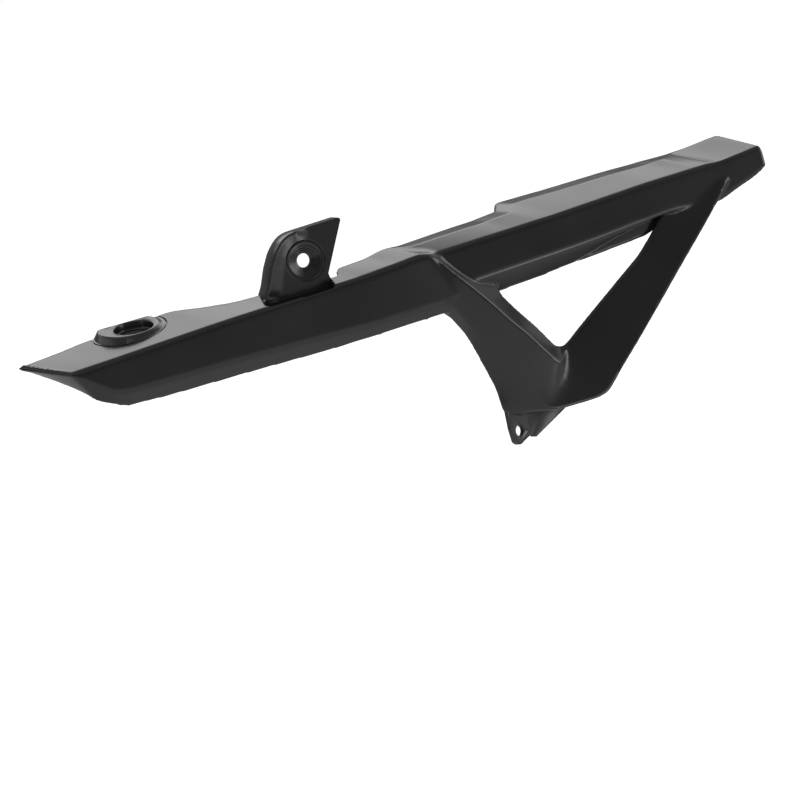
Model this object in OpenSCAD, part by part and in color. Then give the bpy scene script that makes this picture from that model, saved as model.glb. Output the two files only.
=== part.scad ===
// Motorcycle chain guard, moulded in one piece.
// A long open-bottomed beam covers the upper run of the chain. A V-shaped fin hangs below its
// rear half round a triangular window, and the guard bolts on at an upright tab, a boss on the
// front top face and a small bracket under the fin.
// Frame: X runs to the rear wheel, -Y points away from the wheel, Z is up, and the origin is the
// middle of the tab's bolt hole.

/* [Wall] */
// Thickness of the moulded wall
wall = 2.5; // [2:0.1:3.5]
// Outside radius along the outer top edge
edge_r = 4; // [3.6:0.1:5]
// Outside radius along the inner top edge
lip_r = 3.2; // [3:0.1:4.5]
// Depth of the lip that turns down along the inner top edge
lip_drop = 6; // [5:0.5:10]

/* [Beam] */
// Distance from the tab hole forward to the front end of the outer edge
beam_front = 171; // [165:1:180]
// Distance from the tab hole rearward to the rear end of the outer edge
beam_rear = 324; // [318:1:335]
// Distance of the outer edge from the bolting face
edge_y = 21.5; // [20:0.5:24]
// Drop from the tab hole to the outer top edge
edge_drop = 19.6; // [18:0.2:22]
// Slope of the top face down towards the outside, degrees
top_slope = 12; // [9:0.5:14]
// Height of the side face at the front, from the edge to the folded-in band
side_front = 21; // [18:0.5:24]
// Height of the side face just ahead of the fin
side_mid = 34; // [31:0.5:37]
// Height of the side face behind the fin's front leg
side_rear = 24.6; // [22:0.2:26]
// Height of the band that folds in along the bottom of the side face
band_h = 8; // [6:0.5:10]
// Angle of that band from the vertical, degrees
band_lean = 38; // [30:1:45]

/* [Top face] */
// Reach of the top face inwards at the pointed front end
tip_reach = 17.5; // [15:0.5:20]
// Reach of the top face inwards beside the front boss
boss_reach = 30; // [28:0.5:33]
// Reach of the top face inwards at the tab
waist_reach = 8.5; // [7.5:0.5:10]
// Reach of the top face inwards at the step of the rear part
rear_reach = 40; // [36:0.5:42]
// Place of the crossing crease, behind the tab hole
crease_x = 77; // [74:1:80]
// Height of the crease's peak above the outer edge
crease_rise = 2.6; // [1.5:0.1:3.5]
// Place of the step in the inner edge, behind the tab hole
step_x = 158; // [154:1:162]
// Width of the lower strip along the inner edge of the rear top face
strip_w = 16; // [13:0.5:18]
// Slope of that strip, degrees
strip_slope = 5; // [2:0.5:8]

/* [Fin] */
// Distance of the front leg's face from the bolting face
leg_y = 25.5; // [25:0.5:27]
// Distance of the rear leg's lower edge from the bolting face
rear_leg_y = 26.5; // [25.5:0.5:28]
// Depth at which the fin's returns end, from the bolting face
return_y = 15; // [13:0.5:17]
// Distance of the window's rim from the bolting face
window_y = 17; // [16:0.5:18]

/* [Fixings] */
// Radius of the holes in the tab and the front boss, for a 6 mm bolt with its collar
hole_r = 4.6; // [4.2:0.1:5]
// Thickness of the webs that those bolts clamp
web_t = 3; // [2.5:0.1:4]
// Radius of the round recess in the tab
recess_r = 12.9; // [12:0.1:14]
// Depth of that recess
recess_d = 6; // [5:0.5:7]
// Depth of the rim round the tab
rim_d = 13; // [10:0.5:14]
// Radius of the recess in the front boss
boss_recess_r = 12.8; // [12:0.1:14]
// Depth of the recess in the front boss
boss_recess_d = 5.5; // [4.5:0.5:7]
// Radius over the front boss's rim
boss_r = 20; // [18:0.5:22]
// Radius of the bracket's hole, a 6 mm bolt's clearance
bracket_hole_r = 3.6; // [3.2:0.1:4]
// Thickness of the bracket's leaf
leaf_t = 3; // [2.5:0.1:3.5]
// Turn of the bracket's leaf about the upright, degrees
leaf_turn = 27; // [24:1:30]

/* [Hidden] */

rise = tan(top_slope);
lean = tan(band_lean);
boss_centre = [-117, 13, -8.9];
boss_chord = boss_recess_r + 1.5;
boss_tip = 3;
ridge_rake = 0.64;
tab_foot = -16.8;
leaf_hole = [105.2, -16, -149.4];
// stations of the ribs under the top face
rib_places = [-70, 36, 120, 200, 262];
rib_t = 2;
rib_size = 12;

// Value of a profile at place x, with its corners softened over a short span
function soft(keys, x, span = 4) =
    (lookup(x - span, keys) + 2 * lookup(x - span / 2, keys) + 2 * lookup(x, keys)
        + 2 * lookup(x + span / 2, keys) + lookup(x + span, keys)) / 8;

// Profiles along the beam, each a list of [place, value]
edge_z_keys = [[-beam_front, -edge_drop - 0.9], [-57, -edge_drop + 0.6], [27, -edge_drop],
    [crease_x + 7, -edge_drop - 0.6],
    [170, -edge_drop - 1], [240, -edge_drop], [292, -edge_drop - 0.8], [beam_rear, -edge_drop + 0.4]];
peak_keys = [[27, 0], [crease_x - 6, crease_rise], [crease_x + 6, 0]];
edge_y_keys = [[-beam_front, -edge_y], [27, -edge_y], [crease_x - 4, -edge_y - 3],
    [crease_x + 4, -edge_y], [beam_rear, -edge_y]];
far_y_keys = [[-beam_front, tip_reach], [-135, boss_reach - 2.5], [-84, boss_reach],
    [-65, boss_reach - 9], [-42, waist_reach + 3.5], [-29, waist_reach], [27, waist_reach],
    [44, waist_reach + 1.5], [crease_x, waist_reach + 5.5], [step_x - 4, waist_reach + 15],
    [step_x + 7, rear_reach], [step_x + 44, rear_reach - 3.5], [282, rear_reach - 10.5],
    [beam_rear, rear_reach - 14]];
strip_keys = [[crease_x - 4, lip_r + 1], [crease_x + 4, strip_w - 3], [step_x, strip_w],
    [282, strip_w], [296, lip_r + 1], [beam_rear, lip_r + 1]];
side_keys = [[-beam_front, side_front - 1], [-140, side_front + 1.5], [44, side_mid - 1.5],
    [crease_x - 6, side_mid + 0.5], [crease_x + 7, side_rear], [192, side_rear - 1],
    [252, side_rear - 3], [284, side_rear + 0.8], [313, side_rear - 5.6],
    [320.5, side_rear - 11], [beam_rear, side_rear - 16]];
band_keys = [[-beam_front, band_h - 2.5], [-158, band_h + 0.7], [10, band_h + 0.7],
    [crease_x, band_h], [98, band_h + 4],
    [116, band_h + 4.8], [145, band_h + 3.8], [178, band_h + 1.8], [206, band_h - 3], [232, 1.6],
    [beam_rear, 1.2]];
lip_keys = [[-beam_front, lip_r + 0.2], [-140, lip_drop], [beam_rear, lip_drop]];
// how far each section's far side trails its outer edge, per mm of width
skew_keys = [[-beam_front, -0.62], [-110, -0.1], [20, -0.1], [crease_x - 6, -0.35],
    [160, -0.25], [beam_rear, -0.18]];
// how far a section leans back towards its bottom, per mm of height
rake_keys = [[-beam_front, 1.15], [-138, 0], [30, 0], [crease_x - 15, ridge_rake],
    [crease_x + 7, ridge_rake], [118, 0], [beam_rear, 0]];

function edge_at(s) = [soft(edge_y_keys, s), soft(edge_z_keys, s) + soft(peak_keys, s, 2)];

// Named points of the section at station s: outer edge, crest of the inner strip, inner edge,
// foot of the side face, depth of the band and depth of the inner lip
function marks(s) =
    let (e = edge_at(s), far = soft(far_y_keys, s), strip = soft(strip_keys, s),
        crest = [far - strip, soft(edge_z_keys, s) + rise * (far - strip + edge_y)])
    [e, crest, crest + strip * [1, tan(strip_slope)], [e[0] - 0.8, e[1] - soft(side_keys, s)],
        soft(band_keys, s), soft(lip_keys, s)];

// Outside of the section, from the inner lip over the top and down the side
function skin(m) =
    let (e = m[0], far = m[2], side = m[3], band = m[4])
    concat(
        [far - [0, m[5]]],
        [for (a = [0 : 45 : 90]) far + lip_r * [cos(a) - 1, sin(a) - 1]],
        [m[1]],
        [for (a = [90 + top_slope : 19.5 : 180])
            e + edge_r * [1 + cos(a), sin(a) - 1 + rise]],
        [side, side + band * [lean, -1], side + band * [lean, -1] + [1.5, 0.4]]);

// Inside of the section, back from the band to the inner lip, one wall thick
function lining(m) =
    let (e = m[0], far = m[2], side = m[3], band = m[4], drop = wall / cos(top_slope))
    [side + band * [lean, -1] + [wall * 1.1, wall * 0.7], side + [wall, 0.3],
        e + [wall + 0.1, rise * edge_r - edge_r], e + [edge_r - 1, rise * edge_r - wall - 0.5],
        e + [edge_r + 0.6, rise * (edge_r + 0.6) - drop],
        m[1] - [0, drop], far - [wall + 0.4, wall], far - [wall, wall + 0.6],
        far - [wall, m[5]]];

function unit(v) = v / max(norm(v), 0.001);

// Places a section's [y, z] points at station s
function placed(s, points) =
    let (e = edge_at(s), skew = soft(skew_keys, s), rake = soft(rake_keys, s, 2))
    [for (p = points)
        [s + skew * (p[0] - e[0]) + rake * min(max(e[1] - p[1], 0), side_front - 1), p[0], p[1]]];

function backwards(line) = [for (i = [len(line) - 1 : -1 : 0]) line[i]];

// Closed solid through rings of points, the rings all of one length and turning left along the way
module loft(rings) {
    n = len(rings[0]);
    last = len(rings) - 1;
    points = [for (ring = rings) each ring];
    sides = [for (k = [0 : last - 1], i = [0 : n - 1])
        let (a = k * n + i, b = k * n + (i + 1) % n)
        each [[a, b, b + n], [a, b + n, a + n]]];
    polyhedron(points, concat(sides,
        [[for (i = [n - 1 : -1 : 0]) i]], [[for (i = [0 : n - 1]) last * n + i]]));
}

// The open-bottomed beam, a thin wall following the section along its length
beam_stations = [-beam_front, -164, -157, -150, -143, -136, -128, -112, -98, -84, -74, -64, -54, -42,
    -32, -22, 0, 26, 42, 60, crease_x - 10, crease_x - 6, crease_x - 3, crease_x, crease_x + 3,
    crease_x + 7, 98, 116, 132, step_x - 8, step_x - 4, step_x - 1, step_x + 3, step_x + 6,
    step_x + 10, 182, 202, 232, 260, 282, 290, 297, 304, 312, 319, beam_rear];

module beam() {
    color("#1b1b1c")
    loft([for (s = beam_stations) let (m = marks(s)) placed(s, backwards(concat(skin(m), lining(m))))]);
}

// Sloping nose that closes the front end from the side face round to the tip
module nose() {
    side_z = -edge_drop - side_front;
    outer = [
        [[20, -edge_y - 0.3, side_z + 1.5], [24, -edge_y + 4.8, side_z - 8]],
        [[2.5, -edge_y - 0.3, -edge_drop - 3.5], [10.5, -edge_y + 3.5, side_z - 0.5]],
        [[-1, -edge_y + 1, -edge_drop - 1.8], [5, -edge_y + 8.5, -edge_drop - 13]],
        [[-13.5, -1.5, -edge_drop + 3.2], [-6.5, 0, -edge_drop - 3]],
        [[-23, tip_reach - 1.2, -edge_drop + 7], [-20, tip_reach - 0.6, -edge_drop + 5.2]]];
    color("#1b1b1c")
    translate([-beam_front, 0, 0])
    loft([for (pair = outer)
        [pair[0], pair[1], pair[1] + [wall, 0, 0.5], pair[0] + [wall, 0.4, -1]]]);
}

// Wall across the rear end, set just inside the skin
module tail_wall() {
    m = marks(beam_rear);
    color("#1b1b1c")
    translate([beam_rear - 1.2, m[0][0], 0])
    rotate([90, 0, 90 + atan(0.18)])
    linear_extrude(wall, center = true)
    polygon([m[2] - [1.2, m[5] - 1], m[2] - [1.2, 1.4], m[1] - [0, 1.3],
        m[0] + [edge_r, rise * edge_r - 1.3], m[0] + [1.3, -edge_r], m[3] + [1.3, 0.5]]
        - [for (i = [0 : 5]) [m[0][0], 0]]);
}

// Rib across the corner between the top and side walls
module corner_rib(s) {
    e = edge_at(s);
    color("#1b1b1c")
    translate([s, 0, 0])
    rotate([90, 0, 90])
    linear_extrude(rib_t)
    polygon([e + [rib_size, rise * rib_size - wall / 2], e + [edge_r, rise * edge_r - wall / 2],
        e + [wall / 2 + 0.4, -wall / 2 - 0.4], e + [wall / 2, -edge_r], e + [wall / 2, -rib_size]]);
}

// Places of the rear leg's outer contour and of its window side, as [x, z] pairs
rear_leg_contour = [[169.4, -141.2], [182, -130.7], [200, -115], [222, -95.9], [243, -77.7],
    [262, -61.2], [284, -42.1], [295.6, -32]];
rear_leg_window = [[162, -98.6], [173, -91.8], [186.1, -83.8], [204.1, -72.8], [218.8, -63.1],
    [231.3, -51.9], [247, -37.2], [262, -30]];

// Rails of the fin, from the front leg's top down round the point and up the rear leg.
// Each row is the outer contour, the fold beside it, the window's ridge and the window's rim,
// as [x, z] pairs, then how far the fold, the ridge and the contour's return stand out.
fin_rows = [
    [[72, -51], [70.5, -41], [81.5, -24], [87, -25], leg_y - 0.9, leg_y - 0.2, return_y],
    [[79, -60.5], [78, -52], [90, -37], [98.5, -38], leg_y - 0.8, leg_y, return_y],
    [[82, -63.5], [83, -55], [97.8, -48], [114.4, -53.5], leg_y - 1.4, leg_y, return_y],
    [[88, -75.5], [88.8, -67], [108.4, -62.5], [114.8, -61.2], leg_y - 2, leg_y, return_y + 0.5],
    [[91.4, -87], [95, -79], [117.2, -76.4], [123.6, -74.6], leg_y - 2.2, leg_y, return_y + 1],
    [[94.6, -100], [104.5, -94.5], [126.3, -88.4], [134.4, -87.8], leg_y - 2, leg_y, return_y + 2.5],
    [[97, -118], [113.5, -113.5], [134, -101], [140.6, -96.8], leg_y - 1.8, leg_y, return_y + 4],
    [[98, -135.4], [121, -133], [139.6, -109.2], [146, -103.4], leg_y - 1, leg_y - 0.5, return_y + 5],
    [[111, -138.6], [125.4, -139.6], [143.8, -115.6], [148, -104.2], leg_y - 0.4, leg_y - 1,
        return_y + 4],
    [[126, -141.6], [129, -142], [147, -112.8], [149.8, -104.3], leg_y, leg_y - 2.5, return_y],
    [[145, -142.4], [145.5, -142.9], [151.4, -106], [151.8, -103.8], leg_y + 0.2, window_y + 1.8,
        return_y],
    [[162, -142.6], [162.5, -143.3], [155.2, -104.2], [155.4, -102.2], rear_leg_y - 1, window_y + 1.5,
        return_y],
    each [for (k = [0 : 7])
        let (outer = rear_leg_contour[k], inner = rear_leg_window[k])
        [outer + [-0.7, 0.8], outer, inner + [0.6, -1.8], inner,
            rear_leg_y - [0.5, 0, 0, 0, 0, 0.4, 1.2, 3.6][k], window_y + 1.5, return_y]]];

// Points a distance to the left of a line in two dimensions, with mitred corners
function left_of(v) = [-v[1], v[0]];
function beside(line, distance) =
    let (last = len(line) - 1,
        normals = [for (k = [0 : last - 1]) left_of(unit(line[k + 1] - line[k]))])
    [for (k = [0 : last])
        let (a = normals[max(k - 1, 0)], b = normals[min(k, last - 1)], n = unit(a + b))
        line[k] + n * distance / max(n * b, 0.5)];

// Channel section of one row: returns along both edges, one wall thick. The section is worked out
// flat, as [distance along the row, how far it stands in], and then set along the row's line.
function fin_ring(row) =
    let (o = row[0], b = row[1], d = row[2], w = row[3],
        to_b = norm(b - o), to_d = to_b + norm(d - b), to_w = to_d + norm(w - d),
        flat = [[0, -row[6]], [to_b, -row[4]], [to_d, -row[5]], [to_w, -window_y]],
        inner = beside(flat, wall))
    [for (p = concat(flat, [for (k = [3 : -1 : 0]) inner[k]]))
        let (at = p[0] <= to_b ? o + unit(b - o) * p[0]
            : p[0] <= to_d ? b + unit(d - b) * (p[0] - to_b)
            : d + unit(w - d) * (p[0] - to_d))
        [at[0], p[1], at[1]]];

// The V-shaped fin round the triangular window
module fin() {
    color("#1b1b1c")
    loft([for (row = fin_rows) fin_ring(row)]);
}

// Outline of the tab above its foot, seen from outside
tab_outline = concat([[13.7, -11.4], [14.4, -14.6], [14.4, tab_foot], [-33.4, tab_foot],
    [-31, -13.8], [-25.2, -3.6], [-19, 6.8]],
    [for (a = [150 : -12 : 90]) [-7 + 12.5 * cos(a), 7.7 + 12.5 * sin(a)]],
    [[27.4, 20.2], [29.8, 18.8], [30.2, 16.8]]);

// Sloping strip behind the window's upper edge, which joins the rear leg's recessed side
module window_lip() {
    rows = [[160, -43, -50], [181, -41.3, -54.4], [230, -36.5, -52.7], [243, -33.2, -45]];
    color("#1b1b1c")
    loft([for (r = rows) [[r[0], -edge_y + wall + 1, r[1] + 0.8], [r[0], -window_y + wall - 0.6, r[2] + 0.6],
        [r[0], -window_y - 0.3, r[2]], [r[0], -edge_y + 0.6, r[1]]]]);
}

// Upright tab: a plate with a rim along its front and top edges and a cup round the bolt hole
module tab() {
    face_y = -web_t / 2 - recess_d;
    color("#1b1b1c")
    rotate([90, 0, 0]) {
        translate([0, 0, -face_y - wall]) linear_extrude(wall) polygon(tab_outline);
        // the plate runs on below the top wall as a rib
        translate([-28, tab_foot - 12, -face_y - wall]) cube([40, 13, wall - 0.2]);
        translate([0, 0, -face_y - rim_d])
        difference() {
            linear_extrude(rim_d - 0.5) polygon(tab_outline);
            translate([0, 0, -1])
            linear_extrude(rim_d + 2)
            polygon([for (p = tab_outline) [p[0] > 10 ? p[0] + 30 : p[0] + wall,
                p[1] > -10 ? p[1] - wall : p[1] - 1]]);
        }
        translate([0, 0, -web_t / 2]) cylinder(h = web_t + recess_d - 0.4, r = recess_r + wall, $fn = 64);
    }
}

// Stepped recess and bolt hole of the tab
module tab_bore() {
    rotate([90, 0, 0]) {
        translate([0, 0, -web_t]) cylinder(h = 4 * web_t + recess_d, r = hole_r, $fn = 64);
        translate([0, 0, web_t / 2]) cylinder(h = recess_d + 1, r = recess_r * 0.53, $fn = 64);
        translate([0, 0, web_t / 2 + recess_d * 0.25])
        cylinder(h = recess_d + 1, r = recess_r * 0.72, $fn = 64);
        translate([0, 0, web_t / 2 + recess_d * 0.6])
        cylinder(h = recess_d + 1, r = recess_r, $fn = 64);
    }
}

// Window in the top face in front of the tab's foot
module foot_window() {
    translate([-31, -edge_y + 4, -edge_drop - 4])
    cube([43, edge_y - 4 - web_t / 2 - recess_d, 14]);
}

// Puts a child on the front boss's axis, which leans with the top face
module at_boss() {
    translate(boss_centre)
    rotate([top_slope, boss_tip, 0])
    children();
}

// Everything past a chord of the boss, above a level
module past_chord(chord, level) {
    rotate([0, 0, 3])
    translate([-2 * boss_r, chord, level])
    cube([4 * boss_r, 2 * boss_r, boss_r]);
}

// Low round boss with a recess, for the front bolt, cut straight along the guard's inner edge
module front_boss() {
    color("#1b1b1c")
    at_boss() {
        difference() {
            translate([0, 0, -6.5]) cylinder(h = 6.5, r1 = boss_r + 8.6, r2 = boss_r, $fn = 72);
            past_chord(boss_chord, -8);
        }
        difference() {
            translate([0, 0, -boss_recess_d - web_t])
            cylinder(h = boss_recess_d + web_t - 1, r = boss_recess_r + wall, $fn = 72);
            past_chord(boss_chord, -4.6);
            past_chord(boss_chord + 0.4, -12);
        }
    }
}

module boss_bore() {
    at_boss() {
        translate([0, 0, -boss_recess_d]) cylinder(h = boss_recess_d + 6, r = boss_recess_r, $fn = 72);
        translate([0, 0, -20]) cylinder(h = 30, r = hole_r, $fn = 64);
    }
}

// Small bracket under the fin's point: a turned leaf and the gusset behind it
module bracket() {
    color("#1b1b1c")
    translate(leaf_hole)
    rotate([90, 0, leaf_turn]) {
        translate([0, 0, -leaf_t / 2])
        linear_extrude(leaf_t)
        polygon(concat([[-5.6, 19], [-7, 4]],
            [for (a = [200 : 20 : 300]) [-1.5 + 5.6 * cos(a), -3.2 + 5.6 * sin(a)]],
            [[10.5, -5.6], [11.5, -4.6], [11.5, 19]]));
    }
    color("#1b1b1c")
    translate([0, -9.6, 0])
    rotate([90, 0, 0])
    linear_extrude(leaf_t - 0.5)
    polygon([[114.3, -132], [114.3, -156.9], [117.9, -158.1], [142.8, -146.2], [142.8, -138],
        [136, -132]]);
}

module bracket_bore() {
    translate(leaf_hole)
    rotate([90, 0, leaf_turn])
    translate([0, 0, -12])
    cylinder(h = 24, r = bracket_hole_r, $fn = 48);
}

// All the thin skins, joined as one
module skins() {
    color("#1b1b1c")
    resize([0, 0, 0])
    difference() {
        union() {
            beam();
            nose();
            tail_wall();
            fin();
            window_lip();
            for (s = rib_places) corner_rib(s);
        }
        foot_window();
    }
}

module chain_guard() {
    difference() {
        union() {
            skins();
            tab();
            front_boss();
            bracket();
        }
        tab_bore();
        boss_bore();
        bracket_bore();
    }
}

chain_guard();
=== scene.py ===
# Motorcycle chain guard in black plastic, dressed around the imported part.
# Shapes are worked out in millimetres and put into the scene in metres.
import math

import bmesh
import bpy
import numpy as np
from mathutils import Matrix, Vector


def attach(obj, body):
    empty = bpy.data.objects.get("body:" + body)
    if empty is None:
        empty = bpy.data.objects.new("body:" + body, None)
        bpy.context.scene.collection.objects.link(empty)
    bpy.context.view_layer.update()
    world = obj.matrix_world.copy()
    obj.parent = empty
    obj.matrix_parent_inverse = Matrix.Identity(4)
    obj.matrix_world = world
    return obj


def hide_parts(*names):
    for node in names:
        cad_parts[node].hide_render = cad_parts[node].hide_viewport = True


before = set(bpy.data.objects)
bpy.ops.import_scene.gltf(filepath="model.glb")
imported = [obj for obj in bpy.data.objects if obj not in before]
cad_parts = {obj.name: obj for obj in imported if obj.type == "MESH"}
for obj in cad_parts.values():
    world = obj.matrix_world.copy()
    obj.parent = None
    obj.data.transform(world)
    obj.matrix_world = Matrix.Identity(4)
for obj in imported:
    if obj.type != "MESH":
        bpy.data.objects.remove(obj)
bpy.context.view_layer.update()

mm = 0.001


# small helpers for profiles and points

easeOffsets = np.linspace(-1, 1, 9)
easeWeights = 1 + np.cos(math.pi * easeOffsets * 0.9)
flatHalf = math.radians(89.6)   # a corner whose half angle is wider than this counts as straight
flatGap = 0.01                  # spacing of the points that stand for a straight corner
sideShare = 0.48                # share of a side that one arc may take
sharpestMitre = 0.3
mergeGap = 1e-7                 # metres; points closer than this become one


def soft(keys, x, span=4.0):
    # a keyed profile with its corners eased over a short span
    values = np.interp(x + span * easeOffsets, [k[0] for k in keys], [k[1] for k in keys])
    return float(np.dot(values, easeWeights) / easeWeights.sum())


def ramp(value, start, length):
    # 0 up to the start, 1 after the length, and even in between
    return min(max((value - start) / length, 0), 1)


def unit(v):
    v = np.asarray(v, float)
    return v / max(np.linalg.norm(v), 1e-9)


def angleBetween(u, v):
    return math.acos(max(-1.0, min(1.0, float(u @ v))))


def roundedCorner(before, corner, after, radius, steps):
    # points of an arc that replaces a corner, in two or three dimensions
    u, v = unit(before - corner), unit(after - corner)
    half = angleBetween(u, v) / 2
    if half > flatHalf or radius <= 0:
        return [corner + (u * (steps - 1 - k) + v * k) * flatGap for k in range(steps)]
    sides = [np.linalg.norm(before - corner), np.linalg.norm(after - corner)]
    reach = min(radius / math.tan(half), sideShare * sides[0], sideShare * sides[1])
    r = reach * math.tan(half)
    centre = corner + unit(u + v) * r / math.sin(half)
    a, b = corner + u * reach - centre, corner + v * reach - centre
    turn = angleBetween(unit(a), unit(b))
    if turn < 1e-6:
        return [corner.copy() for k in range(steps)]
    return [centre + (a * math.sin((1 - t) * turn) + b * math.sin(t * turn)) / math.sin(turn)
            for t in np.linspace(0, 1, steps)]


def roundedLine(points, radii, steps=6):
    # open line with arcs at its inner corners; the number of points doesn't depend on the shape
    points = [np.asarray(p, float) for p in points]
    line = [points[0]]
    for k in range(1, len(points) - 1):
        line += roundedCorner(points[k - 1], points[k], points[k + 1], radii[k], steps)
    return line + [points[-1]]


def offsetLine(points, distance):
    # the same line a distance to its left, in two dimensions
    points = [np.asarray(p, float) for p in points]
    normals = []
    for a, b in zip(points, points[1:]):
        d = unit(b - a)
        normals.append(np.array([-d[1], d[0]]))
    moved = [points[0] + normals[0] * distance]
    for k in range(1, len(points) - 1):
        n = unit(normals[k - 1] + normals[k])
        moved.append(points[k] + n * distance / max(float(n @ normals[k]), sharpestMitre))
    return moved + [points[-1] + normals[-1] * distance]


def distanceTo(p, a, b):
    # how far a point is from a straight piece of line
    p, a, b = np.asarray(p, float), np.asarray(a, float), np.asarray(b, float)
    t = min(max(float((p - a) @ (b - a)) / float((b - a) @ (b - a)), 0), 1)
    return float(np.linalg.norm(p - a - (b - a) * t))


def easedRows(rows, along, at, ease):
    # rows of numbers taken at new places along their way, then each column smoothed with its ends held
    rows = np.asarray(rows, float)
    dense = np.stack([np.interp(at, along, rows[:, c]) for c in range(rows.shape[1])], 1)
    reach = int(math.ceil(ease * 2))
    kernel = np.exp(-0.5 * (np.arange(-reach, reach + 1) / ease) ** 2)
    kernel /= kernel.sum()
    eased = dense.copy()
    for c in range(dense.shape[1]):
        ends = np.concatenate([2 * dense[0, c] - dense[reach:0:-1, c], dense[:, c],
                               2 * dense[-1, c] - dense[-2:-reach - 2:-1, c]])
        eased[:, c] = np.convolve(ends, kernel, "valid")
    return eased


# helpers for meshes

def linked(name, data):
    thing = bpy.data.objects.new(name, data)
    bpy.context.scene.collection.objects.link(thing)
    return thing


def meshObject(name, points, faces):
    data = bpy.data.meshes.new(name)
    data.from_pydata([tuple(float(c) * mm for c in p) for p in points], [], faces)
    data.validate()
    bm = bmesh.new()
    bm.from_mesh(data)
    bmesh.ops.remove_doubles(bm, verts=bm.verts, dist=mergeGap)
    bmesh.ops.recalc_face_normals(bm, faces=bm.faces)
    bm.to_mesh(data)
    bm.free()
    return linked(name, data)


def loft(name, rings):
    # closed skin over rings that all have the same number of points
    n, count = len(rings[0]), len(rings)
    points = [p for ring in rings for p in ring]
    faces = [(k * n + i, k * n + (i + 1) % n, (k + 1) * n + (i + 1) % n, (k + 1) * n + i)
             for k in range(count - 1) for i in range(n)]
    faces.append(tuple(range(n - 1, -1, -1)))
    faces.append(tuple((count - 1) * n + i for i in range(n)))
    return meshObject(name, points, faces)


def prism(name, outline, place, low, high):
    # an outline in two dimensions, drawn between two heights; place turns (a, b, height) into a point
    return loft(name, [[place(a, b, h) for a, b in outline] for h in (low, high)])


def turned(name, profile, turns, pointAt):
    # closed profile turned round; pointAt makes a point from the cosine, the sine and one profile entry
    points, faces, n = [], [], len(profile)
    for k in range(turns):
        a = 2 * math.pi * k / turns
        points += [pointAt(math.cos(a), math.sin(a), *entry) for entry in profile]
        m = (k + 1) % turns
        for i in range(n):
            j = (i + 1) % n
            faces.append((k * n + i, k * n + j, m * n + j, m * n + i))
    return meshObject(name, points, faces)


def lathe(name, profile, place, turns=96):
    # profile of (radius, height); place turns (x, y, z) into a point
    return turned(name, profile, turns, lambda c, s, r, h: place(r * c, r * s, h))


def bakeModifiers(thing):
    shaped = thing.evaluated_get(bpy.context.evaluated_depsgraph_get())
    data = bpy.data.meshes.new_from_object(shaped)
    thing.modifiers.clear()
    thing.data = data
    return thing


def combine(base, others, operation):
    # solid union or difference, one tool at a time
    for other in others:
        change = base.modifiers.new("combine", "BOOLEAN")
        change.operation = operation
        change.object = other
        change.solver = "MANIFOLD"
        bakeModifiers(base)
        bpy.data.objects.remove(other)
    return base


def roundEdges(thing, width, angle=30, segments=3):
    edges = thing.modifiers.new("edges", "BEVEL")
    edges.width = width * mm
    edges.segments = segments
    edges.limit_method = "ANGLE"
    edges.angle_limit = math.radians(angle)
    edges.use_clamp_overlap = True
    edges.harden_normals = False
    return bakeModifiers(thing)


# beam: the long open-bottomed channel over the chain

beam = {
    "wall": 2.5,                # thickness of the moulded wall
    "edgeRadius": 4.0,          # outer top edge
    "crestRadius": 7.0,         # where the top face turns into the strip
    "lipRadius": 3.2,           # inner top edge
    "foldRadius": 5.0,          # fold at the foot of the side face
    "crestRadiusWithin": 12.0,
    "lipRadiusWithin": 0.8,
    "cornerSteps": 8,
    "front": 171.0,
    "rear": 323.9,
    "edgeY": 21.5,
    "topSlope": 12.0,
    "stripSlope": 5.0,
    "bandLean": 38.0,           # degrees that the lower band leans in
    "footInset": 0.8,
    "creaseX": 77.0,
    "creaseSpan": 2.0,          # corners of the crease are eased over this length
    "stepX": 158.0,
    "rakeDepth": 20.0,
    "dipDepth": 2.0,            # shallow dip across the top face near the rear end
    "dipStart": 285.0,          # at the outer edge
    "dipLength": 10.0,
    "dipSkew": -0.58,
    "dipSpread": 0.18,
    "dipPast": 3.0,             # the dip would end this far past the rear end
    "dipInwards": (1, 5),       # from the outer edge in: where it begins, and over what width it sets in
    "dipUpwards": (-7, 5),      # the same from below the edge up
    "rowStep": 2.5,
    "creaseRows": (9, 9, 0.6),  # closer rows: how far before and after the crease, and their step
    "stepRows": (7, 12, 1.0),
    "ribPlaces": [-70, 36, 120, 200, 262],
    "ribThickness": 2.0,
    "ribSize": 12.0,
    "ribCorner": 4.0,
    "ribEase": 0.4,
}
rise = math.tan(math.radians(beam["topSlope"]))
stripRise = math.tan(math.radians(beam["stripSlope"]))
lean = math.tan(math.radians(beam["bandLean"]))
front, rear, creaseX, stepX = -beam["front"], beam["rear"], beam["creaseX"], beam["stepX"]

edgeZ = [(front, -20.5), (-57, -19.0), (27, -19.6), (creaseX + 7, -20.2), (170, -20.6), (240, -19.6),
         (292, -20.4), (rear, -19.2)]
peakZ = [(27, 0), (creaseX - 6, 2.6), (creaseX + 6, 0)]
edgeY = [(front, -21.5), (27, -21.5), (creaseX - 2, -24.6), (creaseX + 5, -21.5), (rear, -21.5)]
farY = [(front, 17.5), (-135, 27.5), (-84, 30), (-65, 21), (-42, 12), (-29, 8.5), (27, 8.5), (44, 10),
        (creaseX, 14), (stepX - 3, 23.5), (stepX + 8.5, 39.5), (stepX + 44, 36.5), (282, 29.5), (rear, 26)]
stripWidth = [(creaseX - 4, 4.2), (creaseX + 4, 17), (stepX, 20), (272, 20), (290, 4.2), (rear, 4.2)]
sideHeight = [(front, 20), (-140, 22.5), (44, 32.5), (creaseX - 6, 34.5), (creaseX + 7, 24.6),
              (192, 23.6), (252, 21.6), (284, 24.9), (300, 20.3), (313, 17.3), (320.5, 14.6), (rear, 12.2)]
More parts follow.
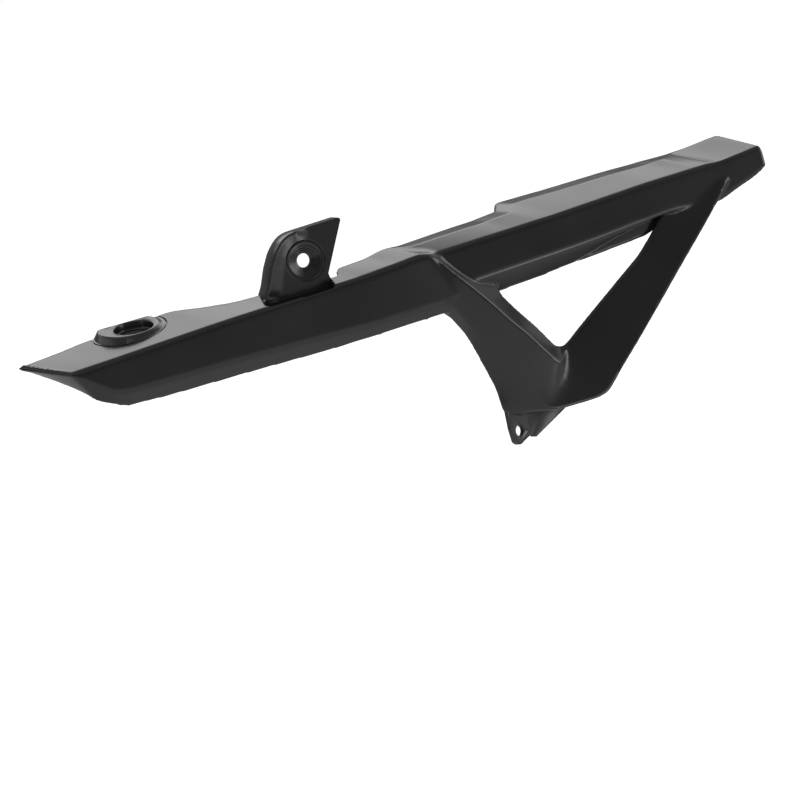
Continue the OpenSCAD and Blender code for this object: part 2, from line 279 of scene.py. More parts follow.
bandHeight = [(front, 5), (-158, 8.1), (-137, 9.1), (-115, 10), (-60, 10), (-5, 9.6), (12, 8.5), (73, 7.6),
              (98, 12.5), (116, 13.4), (145, 13), (178, 11.1), (206, 5), (232, 1.6), (rear, 1.2)]
# how much the inner edge is lifted over the even slope
innerLift = [(front, 1.2), (-158, 0.8), (-145, 0.2), (-95, 0.4), (-78, 0.6), (-65, -0.5), (-48, -1.2),
             (-30, -0.3), (32, 1), (52, 0.9), (62, 2), (83, 3), (103, 2.7), (123, 2.3), (135, 1.8),
             (145, 2.1), (163, 2.2), (180, 1.9), (200, 1.4), (262, 1.1), (272, 1.7), (284, 1.7), (290, 1.2),
             (300, 0.8), (318, 1.2), (rear, 1)]
lipDepth = [(front, 1.2), (-160, 3.4), (-140, 6), (rear, 6)]
# slant of each section across the guard, and its rake below the outer edge
skewKeys = [(front, -0.62), (-110, -0.1), (20, -0.1), (creaseX - 6, -0.35), (160, -0.25), (rear, -0.18)]
rakeKeys = [(front, 1.15), (-138, 0), (30, 0), (creaseX - 15, 0.64), (creaseX + 7, 0.64), (118, 0),
            (rear, 0)]


def edgeAt(s):
    return np.array([soft(edgeY, s), soft(edgeZ, s) + soft(peakZ, s, beam["creaseSpan"])])


def sectionCorners(s):
    # inner lip, inner edge, crest of the strip, outer edge, foot of the side face, bottom of the band
    e, far, strip = edgeAt(s), soft(farY, s), soft(stripWidth, s)
    crestZ = soft(edgeZ, s) + rise * (far - strip + beam["edgeY"]) + soft(innerLift, s)
    crest = np.array([far - strip, crestZ])
    inner = crest + strip * np.array([1, stripRise])
    foot = np.array([e[0] - beam["footInset"], e[1] - soft(sideHeight, s)])
    bottom = foot + soft(bandHeight, s) * np.array([lean, -1])
    return [inner - [0, soft(lipDepth, s)], inner, crest, e, foot, bottom]


def dip(x, y):
    # the top face dips across the rear end and rises again to its last edge
    start = beam["dipStart"] + beam["dipSkew"] * (y + beam["edgeY"])
    length = beam["dipLength"] + beam["dipSpread"] * (y + beam["edgeY"])
    if x <= start:
        return 0.0
    if x < start + length:
        return beam["dipDepth"] * (x - start) / length
    rest = rear + beam["dipPast"] - start - length
    return beam["dipDepth"] * max(1 - (x - start - length) / rest, 0)


def placedSection(s, points):
    e = edgeAt(s)
    skew, rake = soft(skewKeys, s), soft(rakeKeys, s, beam["creaseSpan"])
    placed = []
    for y, z in points:
        x = s + skew * (y - e[0]) + rake * min(max(e[1] - z, 0), beam["rakeDepth"])
        share = ramp(y - e[0], *beam["dipInwards"]) * ramp(z - e[1], *beam["dipUpwards"])
        placed.append((x, y, z - share * dip(x, y)))
    return placed


def beamRing(s):
    corners = sectionCorners(s)
    edge, fold, wall = beam["edgeRadius"], beam["foldRadius"], beam["wall"]
    radii = [0, beam["lipRadius"], beam["crestRadius"], edge, fold, 0]
    radiiWithin = [0, beam["lipRadiusWithin"], beam["crestRadiusWithin"], edge - wall, fold - wall, 0]
    outer = roundedLine(corners, radii, beam["cornerSteps"])
    inner = roundedLine(offsetLine(corners, wall), radiiWithin, beam["cornerSteps"])
    return placedSection(s, outer + inner[::-1])


def makeBeam():
    places = set(np.round(np.arange(front, rear, beam["rowStep"]), 2)) | {rear}
    for middle, (before, after, step) in ((creaseX, beam["creaseRows"]), (stepX, beam["stepRows"])):
        places |= set(np.round(np.arange(middle - before, middle + after, step), 2))
    return loft("beam", [beamRing(s) for s in sorted(places)])


def makeRib(s):
    e, size, w, c = edgeAt(s), beam["ribSize"], beam["wall"], beam["ribCorner"]
    outline = [e + [size, rise * size - w / 2], e + [c, rise * c - w / 2],
               e + [w / 2 + beam["ribEase"], -w / 2 - beam["ribEase"]], e + [w / 2, -c], e + [w / 2, -size]]
    return prism("rib", outline, lambda a, b, h: (s + h, a, b), 0, beam["ribThickness"])


# nose: the sloping skirt that closes the front end

nose = {
    "wall": 3.0,
    "upper": [(-151, -21.8, -39.1), (-168.5, -21.8, -23.1), (-172, -20.5, -21.4), (-184.5, -1.5, -16.4),
              (-194, 16.3, -12.3)],
    "lower": [(-146, -16.7, -49.4), (-160, -18, -42.5), (-165.5, -13, -35.3), (-177, 0, -25.2),
              (-192.4, 16.9, -13.6)],
    "rows": 40,
    "ease": 2.5,
}


def noseRail(points):
    at = np.linspace(0, len(points) - 1, nose["rows"])
    return easedRows(points, range(len(points)), at, nose["ease"])


def makeNose():
    upper, lower = noseRail(nose["upper"]), noseRail(nose["lower"])
    along = np.gradient((upper + lower) / 2, axis=0)
    rings = []
    for u, l, way in zip(upper, lower, along):
        n = unit(np.cross(way, l - u))
        n = n if n[0] > 0 else -n
        rings.append([u, l, l + n * nose["wall"], u + n * nose["wall"]])
    return loft("nose", rings)


# tail: the wall across the rear end

tail = {
    "slope": 0.18,              # it turns with the rear edge
    "inset": 1.2,
    "within": 1.3,              # how far its outline stays inside the beam's faces
    "corner": 4.0,
}


def makeTail():
    lip, inner, crest, edge, foot = sectionCorners(rear)[:5]
    inset, within, corner = tail["inset"], tail["within"], tail["corner"]
    outline = [lip + [-inset, 1], inner + [-inset, -1.4], crest - [0, within],
               edge + [corner, rise * corner - within], edge + [within, -corner], foot + [within, 0.5]]
    turn = math.atan(tail["slope"])

    def place(a, b, h):
        y = a - edge[0]
        return (rear - inset + h * math.cos(turn) - y * math.sin(turn),
                edge[0] + h * math.sin(turn) + y * math.cos(turn), b)
    return prism("tail", outline, place, -beam["wall"] / 2, beam["wall"] / 2)


# fin: the V round the triangular window

fin = {
    "wall": 2.5,
    "legY": 25.5,
    "rearLegY": 26.5,
    "returnY": 15.0,
    "windowY": 17.0,
    "rowStep": 2.0,
    "rowEase": 1.6,
    "foldRadius": 3.0,
    "foldLeast": 1.2,           # least radius of the fold, and how fast it widens with the return
    "foldGrowth": 0.2,
    "ridgeRadius": 1.6,
    "radiusWithin": 0.8,
    "rearContour": [(171, -142.9), (183, -131.5), (201.3, -116.1), (223.2, -96.9), (243.9, -78.4),
                    (262.9, -61.9), (284.6, -42.7), (295.6, -32)],
    "rearWindow": [(162, -98.6), (173, -91.8), (186.1, -83.8), (204.1, -72.8), (219.3, -63.6),
                   (232.3, -52.6), (247, -37.2), (262, -30)],
    "rearTrims": [0.5, 0, 0, 0, 0, 0.4, 1.2, 3.6],
    "rearFold": (-0.2, 0.2),    # from the rear leg's fold to its contour
    "rearRidge": (0.6, -1.8),   # from the window's rim to the rear leg's ridge
    "rearRidgeOut": 1.5,
}


def finRows():
    # contour, fold, ridge and rim of each row as (x, z); then how far fold, ridge and return stand out
    leg, back, win, rearLeg = fin["legY"], fin["returnY"], fin["windowY"], fin["rearLegY"]
    ridgeOut = win + fin["rearRidgeOut"]
    rows = [
        [(71.3, -51), (70, -41), (80.9, -24), (86.5, -25), leg - 2.4, leg - 1.4, back],
        [(78.2, -61), (77.4, -52), (89.8, -37), (98.5, -38), leg - 0.8, leg - 0.1, back],
        [(81.3, -64), (82.4, -55), (97.8, -48), (118, -53), leg - 0.8, leg, back],
        [(87.2, -75.8), (88.2, -67), (108.4, -62.5), (118.8, -59.9), leg - 0.9, leg, back + 0.5],
        [(90.6, -87.3), (95, -79), (117.2, -76.4), (127, -73.2), leg - 1, leg, back + 1],
        [(93.3, -100.3), (104.5, -94.5), (126.3, -88.4), (136.3, -86.8), leg - 1, leg, back + 2.5],
        [(97.3, -118.3), (113.5, -113.5), (134, -101), (141.8, -96.4), leg - 0.9, leg, back + 4],
        [(97.2, -136.2), (121, -133), (139.6, -109.2), (146, -103.4), leg - 0.7, leg - 0.3, back + 5],
        [(111, -139.4), (125.4, -140.4), (143.8, -115.6), (148, -104.2), leg - 0.3, leg - 0.8, back + 4],
        [(126, -142.5), (129, -142.9), (147, -112.8), (149.8, -105), leg, leg - 2.5, back],
        [(145.6, -143.5), (146, -143.9), (151.4, -106), (151.8, -104.8), leg + 0.2, win + 1.8, back],
        [(163, -144), (163.6, -144.7), (155.2, -104.2), (155.4, -103.1), rearLeg - 1, ridgeOut, back],
    ]
    (foldX, foldZ), (ridgeX, ridgeZ) = fin["rearFold"], fin["rearRidge"]
    for (x, z), (wx, wz), trim in zip(fin["rearContour"], fin["rearWindow"], fin["rearTrims"]):
        rows.append([(x + foldX, z + foldZ), (x, z), (wx + ridgeX, wz + ridgeZ), (wx, wz),
                     rearLeg - trim, ridgeOut, back])
    flat = np.array([[c for p in row[:4] for c in p] + row[4:] for row in rows], float)
    # rows are spread evenly along the middle of the leg, and their rails eased
    middle = (flat[:, 2:4] + flat[:, 4:6]) / 2
    along = np.concatenate([[0], np.cumsum(np.linalg.norm(np.diff(middle, axis=0), axis=1))])
    return easedRows(flat, along, np.arange(0, along[-1], fin["rowStep"]), fin["rowEase"])


def alongRow(corners, reach):
    # the point at a distance along the row's line; its last piece runs on as far as it has to
    for start, end in zip(corners[:-2], corners[1:-1]):
        length = np.linalg.norm(end - start)
        if reach <= length:
            return start + unit(end - start) * reach
        reach -= length
    return corners[-2] + unit(corners[-1] - corners[-2]) * reach


def finRing(row):
    # the section is worked out flat, as (distance along the row, how far it stands in), with its wall
    # set off evenly, and then laid along the row's line
    corners = [row[2 * k:2 * k + 2] for k in range(4)]
    contour, fold, ridge, rim = corners
    toFold = np.linalg.norm(fold - contour)
    toRidge = toFold + np.linalg.norm(ridge - fold)
    toRim = toRidge + np.linalg.norm(rim - ridge)
    flat = [(0, -row[10]), (toFold, -row[8]), (toRidge, -row[9]), (toRim, -fin["windowY"])]
    foldRadius = min(fin["foldRadius"], fin["foldLeast"] + toFold * fin["foldGrowth"])
    outer = roundedLine(flat, [0, foldRadius, fin["ridgeRadius"], 0])
    inner = roundedLine(offsetLine(flat, fin["wall"]), [0, fin["radiusWithin"], fin["radiusWithin"], 0])
    ring = []
    for reach, y in outer + inner[::-1]:
        x, z = alongRow(corners, reach)
        ring.append((x, y, z))
    return ring


def makeFin():
    return loft("fin", [finRing(row) for row in finRows()])


# window lip: a shelf runs in under the band, and a wall goes down from its inner end

windowLip = {
    # x, underside of the shelf, foot of the wall
    "rows": [(156, -42.5, -50.4), (181, -40.9, -54.9), (206, -38.6, -53.9), (230, -36.2, -52.8),
             (246, -33, -48.6), (258, -31, -42)],
    "outerY": -20.9,
    "wallY": -12.1,
    "innerY": -9.6,
    "shelf": 2.4,
    "below": 0.8,
}


def makeWindowLip():
    outer, wall, inner = windowLip["outerY"], windowLip["wallY"], windowLip["innerY"]
    rings = []
    for x, under, foot in windowLip["rows"]:
        top, low = under + windowLip["shelf"], foot - windowLip["below"]
        section = [(outer, under), (outer, top), (inner, top), (inner, low), (wall, low), (wall, under)]
        rings.append([(x, y, z) for y, z in section])
    return loft("windowLip", rings)


# tab: upright plate with a rim and a stepped recess round its bolt

tab = {
    "web": 3.0,
    "recessRadius": 12.9,
    "recessDepth": 6.0,
    "recessSteps": [(0.5, 0, 1.1), (0.62, 1.1, 2.0), (0.76, 2.0, 3.2)],     # share of the radius, low, high
    "holeRadius": 4.6,
    "rimDepth": 16.0,
    "wall": 2.5,
    "footZ": -16.8,
    "frontFootX": -33.6,
    # front and top edge above the front foot, and the radii of its corners
    "frontLine": [(-33, -13.4), (-29.8, -8.6), (-24.9, 2), (-19.2, 11.2), (-13.2, 16.9), (-8.6, 19.4),
                  (-3.8, 20.2), (30, 20.2)],
    "frontRadii": [0, 4, 20, 30, 24, 18, 14, 12, 0],
    "cornerCentre": (28.5, 18.6),
    "cornerRadius": 1.6,
    "cornerAngles": [90, 60, 30, 0, -25],
    "rearFoot": [(12.5, -12.4), (12.9, -15.2)],
    "rearFootX": 13.6,
    "openRear": 30.0,           # the hollow runs this far past the rear edge
    # foot rib and foot corner, as (across, height over the foot)
    "footRib": [(-38, -12), (16, -12), (16, -1.2), (13, 1), (-33, 1), (-38, -1.2)],
    "footCorner": [(-36, -9), (-31, -9), (-31, 1), (-33.4, 1), (-36, -1.4)],
    "footCornerDepth": 14.0,
    "edge": 0.5,
    "dish": 2.4,                # how far the plate sinks between its rim and the recess
    "dishRim": 1.6,
    "dishWidth": 9.0,
    "dishCurve": 1.35,
    "dishSpan": ((-36, 32.1), (-19, 22.1)),     # across and up
    "dishCell": 0.8,
}
tabFace = tab["web"] / 2 + tab["recessDepth"]   # the outer face, counted out from the middle of the web


def upright(a, b, h):
    # the tab's own plane: across, up, and outwards from the middle of the web
    return (a, -h, b)


def tabRail():
    # front and top edge, from the front foot up and back
    line = [(tab["frontFootX"], tab["footZ"])] + tab["frontLine"]
    rounded = roundedLine(line, tab["frontRadii"], 4)[1:-1]
    return [line[0]] + [(float(a), float(b)) for a, b in rounded]


def tabOutline(rail):
    # seen from outside, from the rear foot round by the front to the rear corner
    (x, z), r = tab["cornerCentre"], tab["cornerRadius"]
    corner = [(x + r * math.cos(a), z + r * math.sin(a)) for a in np.radians(tab["cornerAngles"])]
    return tab["rearFoot"] + [(tab["rearFootX"], tab["footZ"])] + rail + corner


def dishDepth(x, z, rail):
    # the plate sinks in a soft curve behind its front and top edges
    nearest = min(distanceTo((x, z), a, b) for a, b in zip(rail, rail[1:]))
    share = ramp(nearest, tab["dishRim"], tab["dishWidth"])
    return tab["dish"] * (1 - (1 - share) ** tab["dishCurve"])


def makeDish(rail):
    # block whose inner side follows the dish, to be taken off the plate
    xs, zs = (np.arange(low, high, tab["dishCell"]) for low, high in tab["dishSpan"])
    rings = []
    for x in xs:
        sunk = [upright(x, z, tabFace - max(dishDepth(x, z, rail), 0.01)) for z in zs]
        rings.append(sunk + [upright(x, z, tabFace + 6) for z in (zs[-1], zs[0])])
    return loft("dish", rings)


def makeTab():
    wall, foot, half, rim = tab["wall"], tab["footZ"], tab["web"] / 2, tabFace - tab["rimDepth"]
    plateBack = tabFace - wall - tab["dish"]
    rail = tabRail()
    outline = tabOutline(rail)
    block = prism("tab", outline, upright, rim, tabFace)
    # the hollow leaves the wall in front and on top, and is open at the rear and at the foot
    inner = [(a + tab["openRear"] if a > 10 else a + wall, b - wall if b > -10 else b - 1)
             for a, b in outline]
    combine(block, [prism("hollow", inner, upright, rim - 1, plateBack)], "DIFFERENCE")
    cupRadius, cupTop = tab["recessRadius"] + wall, tabFace - 0.4
    cup = lathe("cup", [(2, -half), (cupRadius, -half), (cupRadius, cupTop), (2, cupTop)], upright)
    ribOutline = [(a, foot + b) for a, b in tab["footRib"]]
    rib = prism("rib", ribOutline, upright, plateBack, tabFace - 0.2)
    cornerOutline = [(a, foot + b) for a, b in tab["footCorner"]]
    corner = prism("side", cornerOutline, upright, tabFace - tab["footCornerDepth"], tabFace - 0.3)
    combine(block, [cup, rib, corner], "UNION")
    roundEdges(block, tab["edge"])
    return combine(block, [makeDish(rail)], "DIFFERENCE")


def tabCutter():
    r, hole, half, plate = tab["recessRadius"], tab["holeRadius"], tab["web"] / 2, tabFace - tab["dish"]
    profile = [(0.0, -9), (hole, -9), (hole, half - 0.3), (hole + 0.3, half)]
    # steps of the recess, each a small wall with an eased edge
    for share, low, high in tab["recessSteps"]:
        profile += [(r * share - 0.4, half + low), (r * share, half + low + 0.3),
                    (r * share, half + high - 0.35), (r * share + 0.35, half + high)]
    profile += [(r - 0.6, half + 3.2), (r, half + 3.9), (r, plate - 0.5), (r + 0.2, plate - 0.2),
                (r + 0.6, plate), (r + 0.6, tabFace + 4), (0.0, tabFace + 4)]
    return lathe("tabCutter", profile, upright, 128)


# front boss

boss = {
    "centre": (-117.0, 13.0, -8.9),
    "tipTurn": 3.0,
    "radius": 19.5,
    "shift": (-2.0, 4.6),       # its outer round lies this much further forward and in than its recess
    "flare": 3.6,               # how much wider its side is at the foot
    "ledge": 0.8,               # width of the low ledge round the foot
    "chord": 14.0,              # the boss is cut straight here, along the guard's inner edge
    "chordTurn": 3.0,
    "recessRadius": 12.8,
    "recessDepth": 5.5,
    "web": 3.0,
    "holeRadius": 4.6,
    "edge": 0.5,
    "edgeAngle": 50,
}
bossFrame = (Matrix.Translation(Vector(boss["centre"]))
             @ Matrix.Rotation(math.radians(boss["tipTurn"]), 4, "Y")
             @ Matrix.Rotation(math.radians(beam["topSlope"]), 4, "X"))


def atBoss(x, y, z):
    return tuple(bossFrame @ Vector((x, y, z)))


def faceDepth(x, y):
    # height of the top face under a point of the boss's own plane
    p = bossFrame @ Vector((x, y, 0))
    return (soft(edgeZ, p.x) + rise * (p.y + beam["edgeY"]) - p.z) / math.cos(math.radians(beam["topSlope"]))


def bossRings(name, profile, turns=96):
    # profile of (radius, height, share of the height taken from the top face) round the boss
    def pointAt(c, s, r, h, share):
        x, y = boss["shift"][0] + r * c, boss["shift"][1] + r * s
        return atBoss(x, y, h + share * faceDepth(x, y))
    return turned(name, profile, turns, pointAt)


def makeBoss():
    r, inside, low = boss["radius"], boss["recessRadius"] + beam["wall"], -boss["recessDepth"] - boss["web"]
    flared = r + boss["flare"]
    ledge = flared + boss["ledge"]
    cup = lathe("boss", [(2, low), (inside, low), (inside, -1), (2, -1)], atBoss)
    body = bossRings("body", [(3, -1.2, 1), (ledge, -1.2, 1), (ledge, 0.15, 1), (flared + 0.6, 0.3, 1),
                              (flared, 0.35, 1), (r + 0.9, -0.75, 0), (r + 0.5, -0.3, 0),
                              (r - 0.1, -0.06, 0), (r - 0.8, 0, 0), (3, 0, 0)])
    combine(cup, [body], "UNION")
    turn = math.radians(boss["chordTurn"])

    def past(a, b, h):
        return atBoss(a * math.cos(turn) - b * math.sin(turn), a * math.sin(turn) + b * math.cos(turn), h)
    chord = prism("chord", [(-50, boss["chord"]), (50, boss["chord"]), (50, 50), (-50, 50)], past, -12, 6)
    return roundEdges(combine(cup, [chord], "DIFFERENCE"), boss["edge"], boss["edgeAngle"])


def bossGroove():
    # narrow groove in the top face round the ledge
    r = boss["radius"] + boss["flare"] + boss["ledge"]
    return bossRings("bossGroove", [(r, -0.4, 1), (r + 0.6, -0.4, 1), (r + 1.1, 0.3, 1), (r + 1.1, 3, 1),
                                    (r, 3, 1)])


def bossCutter():
    r, d, hole = boss["recessRadius"], boss["recessDepth"], boss["holeRadius"]
    profile = [(0.0, -20), (hole, -20), (hole, -d - 0.3), (hole + 0.3, -d), (r - 1.2, -d),
               (r - 0.3, -d + 0.4), (r, -d + 1.2), (r, -0.6), (r + 0.2, -0.2), (r + 0.6, 0), (r + 0.6, 6),
               (0.0, 6)]
    return lathe("bossCutter", profile, atBoss)


# bracket under the fin

bracket = {
    "hole": (105.2, -16.0, -149.4),
    "holeRadius": 3.6,
    "turn": 27.0,
    "leaf": 3.0,
    # the leaf's outline: down its front edge, round its foot, up its rear edge
    "leafFront": [(-6.2, 19), (-7.8, 4)],
    "leafRear": [(10.5, -5.6), (11.5, -4.6), (11.5, 19)],
    "footCentre": (-2.2, -3.1),
    "footRadius": 5.6,
    "footAngles": (200, 300),
    "gusset": 2.5,
    "gussetY": -9.6,
    "gussetOutline": [(114.3, -132), (114.3, -156.9), (117.9, -158.1), (142.8, -146.2), (142.8, -138),
                      (136, -132)],
    "edge": 0.4,
}
bracketFrame = (Matrix.Translation(Vector(bracket["hole"]))
                @ Matrix.Rotation(math.radians(bracket["turn"]), 4, "Z"))


def atLeaf(a, b, h):
    return tuple(bracketFrame @ Vector((a, -h, b)))


def makeBracket():
    (x, z), r, half = bracket["footCentre"], bracket["footRadius"], bracket["leaf"] / 2
    angles = np.radians(np.linspace(*bracket["footAngles"], 11))
    foot = [(x + r * math.cos(a), z + r * math.sin(a)) for a in angles]
    leaf = prism("bracket", bracket["leafFront"] + foot + bracket["leafRear"], atLeaf, -half, half)
    gusset = prism("gusset", bracket["gussetOutline"], lambda a, b, h: (a, bracket["gussetY"] - h, b),
                   0, bracket["gusset"])
    return roundEdges(combine(leaf, [gusset], "UNION"), bracket["edge"])


def bracketCutter():
    r, half = bracket["holeRadius"], bracket["leaf"] / 2
    profile = [(0.0, -12), (r, -12), (r, half - 0.3), (r + 0.35, half + 0.02), (r + 0.35, half + 0.1),
               (r, half + 0.1), (r, 12), (0.0, 12)]
    return lathe("bracketCutter", profile, atLeaf, 64)


# one moulded shell out of all of them

moulding = {
    "grain": 0.9,               # edge of the cells that the thin skins are rebuilt with
    "kept": 0.5,                # share of their faces that is kept
    "smoothing": 5,
    "smoothStrength": 0.5,
    "swell": 0.2,               # makes up for what the smoothing takes off
    "creaseAngle": 48,          # sharper edges than this stay sharp in the shading
    "slots": [
        # window at the tab's foot: across, along and heights
        [(-32.4, -36.6, -35, 9.1, 12, 6), (5.6, -16.6, -19.2, -20.4, -5, -4), (-23.6, -9.6)],
        # relief behind the tab's foot, open to the inner edge
        [(12.6, 12.6, 13.6, 16, 18.2, 19.6, 22.4, 26), (13, -3.4, -4.8, -5.2, -4.2, 1, 5.6, 13), (-24, -4)],
    ],
}


def rebuildSkins(skins):
    # the joined skins become one even skin with softened corners, and then lose the faces they can spare
    cells = skins.modifiers.new("cells", "REMESH")
    cells.mode = "VOXEL"
    cells.voxel_size = moulding["grain"] * mm
    cells.use_smooth_shade = True
    ease = skins.modifiers.new("ease", "SMOOTH")
    ease.factor = moulding["smoothStrength"]
    ease.iterations = moulding["smoothing"]
    swell = skins.modifiers.new("swell", "DISPLACE")
    swell.mid_level = 0
    swell.strength = moulding["swell"] * mm
    bakeModifiers(skins)
    fewer = skins.modifiers.new("fewer", "DECIMATE")
    fewer.ratio = moulding["kept"]
    return bakeModifiers(skins)


def makeShell():
    skins = makeBeam()
    parts = [makeNose(), makeTail(), makeFin(), makeWindowLip()] + [makeRib(s) for s in beam["ribPlaces"]]
    combine(skins, parts, "UNION")
    for across, along, (low, high) in moulding["slots"]:
        slot = prism("slot", list(zip(across, along)), lambda a, b, h: (a, b, h), low, high)
        combine(skins, [slot], "DIFFERENCE")
    print("skins joined:", len(skins.data.vertices), "points")
    rebuildSkins(skins)
    combine(skins, [bossGroove()], "DIFFERENCE")
    combine(skins, [makeTab(), makeBoss(), makeBracket()], "UNION")
    combine(skins, [tabCutter(), bossCutter(), bracketCutter()], "DIFFERENCE")
    skins.data.calc_loop_triangles()
    print("shell finished:", len(skins.data.loop_triangles), "triangles")
    skins.name = "guardShell"
    skins.data.name = "guardShell"
    return skins


# finishes

plasticFinish = {
    "colour": (0.0088, 0.0085, 0.0084),
    "unevenness": (0.85, 1.15),     # the colour's darkest and lightest share
    "unevenBand": (0.35, 0.65),
    "specular": 0.5,
    "roughness": 0.21,
    "roughnessDrift": 0.05,
    "driftScale": 18,
    "driftDetail": 3,
    "grainScale": 1400,
    "grainDetail": 2,
    "grainDepth": 0.00001,
    "grainStrength": 0.05,
}


def noiseNode(tree, coords, scale, detail):
    noise = tree.nodes.new("ShaderNodeTexNoise")
    noise.inputs["Scale"].default_value = scale
    noise.inputs["Detail"].default_value = detail
    tree.links.new(coords.outputs["Object"], noise.inputs["Vector"])
    return noise.outputs["Fac"]


def makePlastic(name, finish):
    material = bpy.data.materials.new(name)
    material.use_nodes = True
    tree = material.node_tree
    shader = tree.nodes["Principled BSDF"]
    shader.inputs["Specular IOR Level"].default_value = finish["specular"]
    coords = tree.nodes.new("ShaderNodeTexCoord")
    # slow drift of the sheen, as a large moulding has
    drift = noiseNode(tree, coords, finish["driftScale"], finish["driftDetail"])
    spread = tree.nodes.new("ShaderNodeMapRange")
    spread.inputs["To Min"].default_value = finish["roughness"] - finish["roughnessDrift"]
    spread.inputs["To Max"].default_value = finish["roughness"] + finish["roughnessDrift"]
    tree.links.new(drift, spread.inputs["Value"])
    tree.links.new(spread.outputs["Result"], shader.inputs["Roughness"])
    # colour of the dyed plastic, a little uneven
    tint = tree.nodes.new("ShaderNodeValToRGB")
    for stop, share, place in zip(tint.color_ramp.elements, finish["unevenness"], finish["unevenBand"]):
        stop.color = [c * share for c in finish["colour"]] + [1]
        stop.position = place
    tree.links.new(drift, tint.inputs["Fac"])
    tree.links.new(tint.outputs["Color"], shader.inputs["Base Color"])
    # very fine grain of the mould
    grain = noiseNode(tree, coords, finish["grainScale"], finish["grainDetail"])
    bump = tree.nodes.new("ShaderNodeBump")
    bump.inputs["Strength"].default_value = finish["grainStrength"]
    bump.inputs["Distance"].default_value = finish["grainDepth"]
    tree.links.new(grain, bump.inputs["Height"])
    tree.links.new(bump.outputs["Normal"], shader.inputs["Normal"])
    return material


# camera, lights and floor, in metres

studio = {
    "eye": (-0.570316, -1.889688, 0.239882),
    "right": (0.901773, -0.339205, -0.267852),
    "up": (0.309598, 0.074524, 0.947943),
    "lens": 138.627,
    "sensor": 36,
    "white": 1.0,
    "roomLight": 0.8,
    "floorZ": -0.42,
    "floorSize": 30,
    "floorTone": 0.93,
    "floorLift": 0.36,          # light that the floor adds of its own where it is seen or mirrored
    "middleX": 0.06,            # the curtains and softboxes stand round this place
    "middleZ": -0.05,
    # curved cards: azimuths, heights, tones at foot and top
    "curtains": {
        "frontCurtain": ((-60, 40), (-0.4, 2.2), (0.2, 0.12)),
        "sideCurtain": ((76, 142), (-0.4, 1.2), (0.85, 0.85)),
        "rearCurtain": ((142, 285), (-0.4, 1.1), (0.12, 0.22)),
    },
    "curtainRadius": 2.6,
    "underCard": (-0.415, 2.7, 0.75),           # height, size, tone
    "floorPatch": ((27, 42), (0.5, 1.0), 3.4),  # azimuths, radii, tone
    "overCard": (2.45, 2.6, 0.35),
    # lit panels: direction, distance, width, height, radiance
    "softboxes": {
        "rearSoftbox": ((0.285, 0.80, 0.56), 2.5, 2.6, 1.1, 0.85),
        "topSoftbox": ((-0.3, -0.1, 1.0), 2.2, 1.4, 1.0, 0.6),
        "sideSoftbox": ((0.78, -0.62, 0.0), 2.4, 0.75, 1.5, 3.0),
    },
}
whiteColour = (1, 1, 1, 1)


def makeCamera():
    data = bpy.data.cameras.new("camera")
    data.sensor_width = studio["sensor"]
    data.lens = studio["lens"]
    data.clip_start, data.clip_end = 0.05, 100
    camera = linked("camera", data)
    right, up = Vector(studio["right"]).normalized(), Vector(studio["up"]).normalized()
    turn = Matrix((right, up, right.cross(up))).transposed().to_4x4()
    camera.matrix_world = Matrix.Translation(Vector(studio["eye"])) @ turn
    bpy.context.scene.camera = camera


def seenDirectly(tree):
    # 1 for rays that show the background: straight, mirrored and through glass
    path = tree.nodes.new("ShaderNodeLightPath")
    seen = path.outputs["Is Camera Ray"]
    for kind in ("Is Glossy Ray", "Is Transmission Ray"):
        either = tree.nodes.new("ShaderNodeMath")
        either.operation = "MAXIMUM"
        tree.links.new(seen, either.inputs[0])
        tree.links.new(path.outputs[kind], either.inputs[1])
        seen = either.outputs[0]
    return seen


def makeWorld():
    world = bpy.data.worlds.new("room")
    bpy.context.scene.world = world
    world.use_nodes = True
    tree = world.node_tree
    tree.nodes.clear()
    seen, room = tree.nodes.new("ShaderNodeBackground"), tree.nodes.new("ShaderNodeBackground")
    for node, strength in ((seen, studio["white"]), (room, studio["roomLight"])):
        node.inputs["Color"].default_value = whiteColour
        node.inputs["Strength"].default_value = strength
    mix, out = tree.nodes.new("ShaderNodeMixShader"), tree.nodes.new("ShaderNodeOutputWorld")
    tree.links.new(seenDirectly(tree), mix.inputs["Fac"])
    tree.links.new(room.outputs[0], mix.inputs[1])
    tree.links.new(seen.outputs[0], mix.inputs[2])
    tree.links.new(mix.outputs[0], out.inputs["Surface"])


def dullCard(name, points, faces, materialName, tone):
    # flat piece of the studio, dull and of one grey, with the socket for light of its own
    data = bpy.data.meshes.new(name)
    data.from_pydata(points, [], faces)
    material = bpy.data.materials.new(materialName)
    material.use_nodes = True
    shader = material.node_tree.nodes["Principled BSDF"]
    shader.inputs["Base Color"].default_value = (tone, tone, tone, 1)
    shader.inputs["Roughness"].default_value = 1
    shader.inputs["Specular IOR Level"].default_value = 0
    shader.inputs["Emission Color"].default_value = whiteColour
    data.materials.append(material)
    return linked(name, data), material.node_tree, shader.inputs["Emission Strength"]


def square(size, z):
    return [(-size, -size, z), (size, -size, z), (size, size, z), (-size, size, z)]


def makeFloor():
    corners = square(studio["floorSize"], studio["floorZ"])
    floor, tree, strength = dullCard("floor", corners, [(0, 1, 2, 3)], "paleFloor", studio["floorTone"])
    lift = tree.nodes.new("ShaderNodeMath")
    lift.operation = "MULTIPLY"
    lift.inputs[1].default_value = studio["floorLift"]
    tree.links.new(seenDirectly(tree), lift.inputs[0])
    tree.links.new(lift.outputs[0], strength)


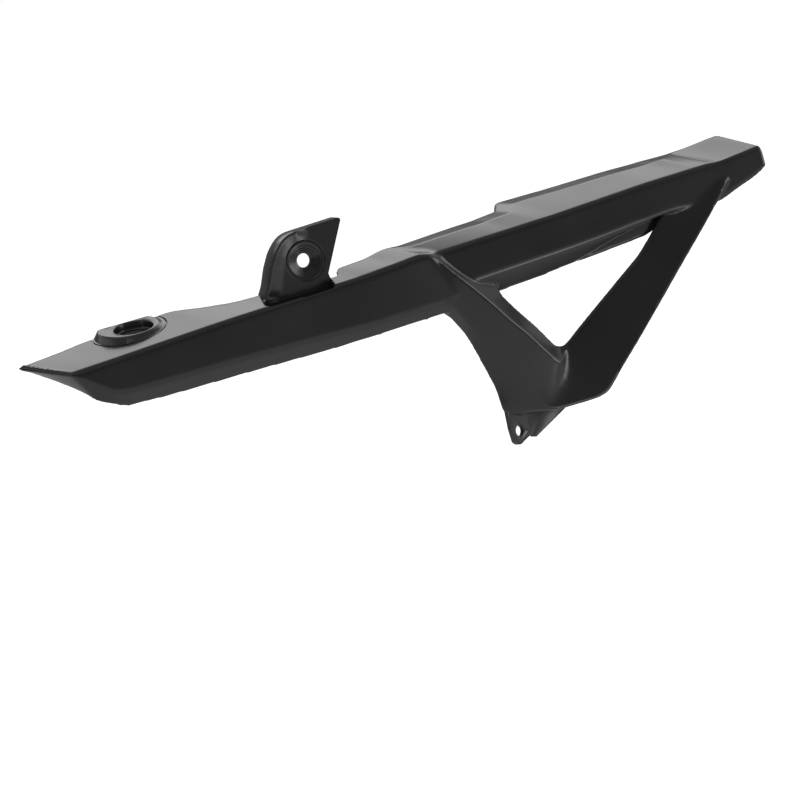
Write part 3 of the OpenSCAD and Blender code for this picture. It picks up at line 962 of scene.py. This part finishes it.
def softbox(name, direction, distance, width, height, radiance):
    # a lit panel of an even brightness, out of the camera's sight
    data = bpy.data.lights.new(name, "AREA")
    data.shape = "RECTANGLE"
    data.size, data.size_y = width, height
    data.energy = radiance * math.pi * width * height
    lamp = linked(name, data)
    d = Vector(direction).normalized()
    lamp.location = Vector((studio["middleX"], 0, studio["middleZ"])) + d * distance
    lamp.rotation_mode = "QUATERNION"
    lamp.rotation_quaternion = d.to_track_quat("Z", "Y")
    lamp.visible_camera = False


def mirroredCard(name, points, faces, tones):
    # card that only reflections see; its tone runs from its foot to its top
    card, tree, strength = dullCard(name, points, faces, name, 0)
    coords, split = tree.nodes.new("ShaderNodeTexCoord"), tree.nodes.new("ShaderNodeSeparateXYZ")
    tone = tree.nodes.new("ShaderNodeMapRange")
    tone.inputs["To Min"].default_value, tone.inputs["To Max"].default_value = tones
    tree.links.new(coords.outputs["Generated"], split.inputs[0])
    tree.links.new(split.outputs["Z"], tone.inputs["Value"])
    tree.links.new(tone.outputs["Result"], strength)
    card.visible_camera = False
    card.visible_diffuse = False
    card.visible_shadow = False
    card.visible_transmission = False


def arcCard(name, azimuths, steps, pointsAt, tones):
    # card along an arc; azimuths are counted from the front towards the rear wheel
    points = []
    for k in range(steps + 1):
        a = math.radians(azimuths[0] + (azimuths[1] - azimuths[0]) * k / steps)
        points += pointsAt(math.sin(a), -math.cos(a))
    faces = [(2 * k, 2 * k + 1, 2 * k + 3, 2 * k + 2) for k in range(steps)]
    mirroredCard(name, points, faces, tones)


def curtain(name, azimuths, heights, tones):
    # upright card that stands round the part
    def pointsAt(x, y):
        radius = studio["curtainRadius"]
        return [(studio["middleX"] + radius * x, radius * y, z) for z in heights]
    arcCard(name, azimuths, 24, pointsAt, tones)


def floorCard(name, azimuths, radii, tone):
    # bright patch on the floor, mirrored by the faces that lean down
    z = studio["floorZ"] + 0.01
    arcCard(name, azimuths, 8, lambda x, y: [(r * x, r * y, z) for r in radii], (tone, tone))


def levelCard(name, z, size, tone):
    mirroredCard(name, square(size, z), [(0, 1, 2, 3)], (tone, tone))


def makeLights():
    for name, settings in studio["curtains"].items():
        curtain(name, *settings)
    levelCard("underCard", *studio["underCard"])
    floorCard("floorPatch", *studio["floorPatch"])
    levelCard("overCard", *studio["overCard"])
    for name, settings in studio["softboxes"].items():
        softbox(name, *settings)


print("shell")
shell = makeShell()
plastic = makePlastic("satinBlackPlastic", plasticFinish)
shell.data.materials.clear()
shell.data.materials.append(plastic)
shell.data.shade_smooth()
bpy.context.view_layer.objects.active = shell
shell.select_set(True)
bpy.ops.object.shade_smooth_by_angle(angle=math.radians(moulding["creaseAngle"]), keep_sharp_edges=False)
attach(shell, "root")
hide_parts("chain_guard")

print("studio")
makeCamera()
makeWorld()
makeFloor()
makeLights()
bpy.context.scene.view_settings.view_transform = "Standard"
